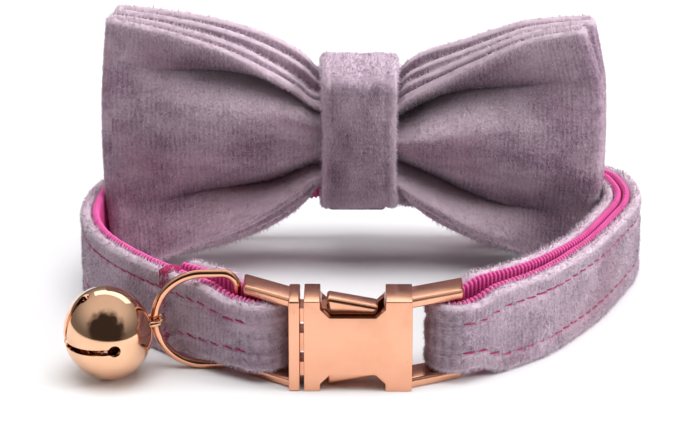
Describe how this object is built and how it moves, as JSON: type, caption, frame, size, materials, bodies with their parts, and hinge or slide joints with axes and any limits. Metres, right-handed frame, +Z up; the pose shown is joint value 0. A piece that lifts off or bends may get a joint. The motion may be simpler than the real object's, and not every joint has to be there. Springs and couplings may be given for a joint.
{
  "type": "cat collar with bow tie",
  "caption": "Velvet cat collar with webbing lining, metal side-release buckle, D-ring with bell and a bow tie on an elastic loop.",
  "frame": {"origin": "middle of the footprint, on the surface that the collar stands on", "axes": "+Z up, -Y towards the buckle's front face, +X to the right seen from the front"},
  "size_m": [0.0768, 0.0566, 0.038],
  "materials": {
    "velvet": "lilac velvet with a short soft pile",
    "webbing": "hot pink ribbed nylon webbing",
    "rose_gold": "polished rose-gold plating on cast metal",
    "elastic": "ribbed elastic in the velvet's colour"
  },
  "bodies": {
    "root": {"strap_velvet": "velvet", "strap_webbing": "webbing", "buckle_body": "rose_gold", "buckle_tongue": "rose_gold", "d_ring": "rose_gold", "bell": "rose_gold", "bell_pellet": "rose_gold", "bow_front_tier": "velvet", "bow_back_tier": "velvet", "bow_knot": "velvet", "bow_loop": "elastic"}
  },
  "joints": []
}
